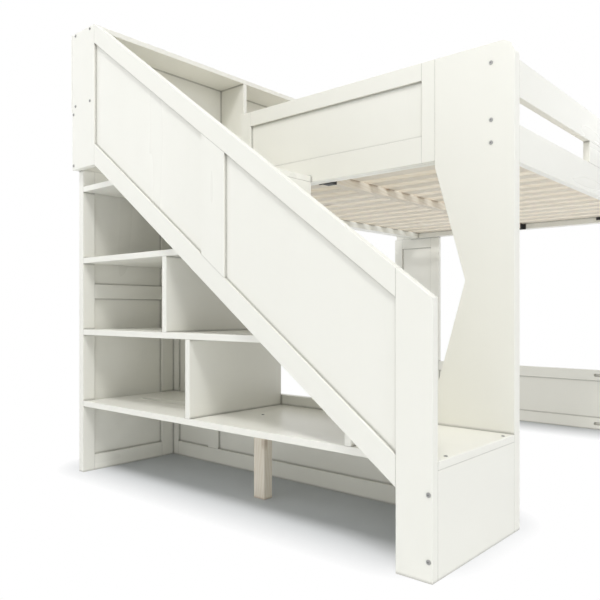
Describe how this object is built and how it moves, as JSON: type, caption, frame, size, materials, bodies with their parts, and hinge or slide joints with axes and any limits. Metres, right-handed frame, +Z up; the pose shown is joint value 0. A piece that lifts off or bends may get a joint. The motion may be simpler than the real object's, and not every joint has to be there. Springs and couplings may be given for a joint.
{
  "type": "loft bed",
  "caption": "White loft bed on panel legs with a stair of open shelves, a sloped framed guard, a slatted deck and a long bookcase along the wall side.",
  "frame": {"origin": "centre of the bounding box in plan, on the floor", "axes": "+X towards the stair front and the open front side, +Y from the stair towards the far end of the bed, +Z up"},
  "size_m": [1.831, 2.697, 1.96],
  "materials": {
    "white_paint": "satin white paint on wood",
    "pine": "bare planed pine",
    "zinc_steel": "zinc plated",
    "black_steel": "black powder coat"
  },
  "bodies": {
    "root": {"tower_side_stiles": "white_paint", "tower_side_rails": "white_paint", "tower_side_panel": "white_paint", "level_board_1": "white_paint", "level_board_2": "white_paint", "level_board_3": "white_paint", "landing_board": "white_paint", "riser_1": "white_paint", "riser_2": "white_paint", "riser_3": "white_paint", "riser_4": "white_paint", "lower_divider": "white_paint", "upper_divider": "white_paint", "support_post": "pine", "newel_post": "white_paint", "guard_top_rail": "white_paint", "guard_bottom_rail": "white_paint", "guard_middle_stile": "white_paint", "guard_lower_panel": "white_paint", "guard_upper_panel": "white_paint", "bookcase_near_side": "white_paint", "bookcase_far_side": "white_paint", "bookcase_top": "white_paint", "bookcase_shelf": "white_paint", "bookcase_dividers": "white_paint", "bookcase_back": "white_paint", "wall_guard_board": "white_paint", "near_wall_leg_stiles": "white_paint", "near_wall_leg_rail": "white_paint", "near_wall_leg_panel": "white_paint", "far_wall_leg_stiles": "white_paint", "far_wall_leg_rail": "white_paint", "far_wall_leg_panel": "white_paint", "near_shaped_leg": "white_paint", "far_shaped_leg": "white_paint", "near_low_rails": "white_paint", "near_low_panel": "white_paint", "far_low_rails": "white_paint", "far_low_panel": "white_paint", "near_end_stiles": "white_paint", "near_end_rails": "white_paint", "near_end_panel": "white_paint", "far_end_stiles": "white_paint", "far_end_rails": "white_paint", "far_end_panel": "white_paint", "entry_sill": "white_paint", "side_guard_lower_rail": "white_paint", "side_guard_top_rail": "white_paint", "side_guard_block": "white_paint", "wall_rail": "white_paint", "side_ledgers": "white_paint", "end_ledgers": "white_paint", "centre_beam": "pine", "slats": "pine", "deck_brackets": "black_steel", "newel_screws": "zinc_steel", "tread_screws": "zinc_steel", "leg_bolts": "zinc_steel", "bookcase_screws": "zinc_steel"}
  },
  "joints": []
}
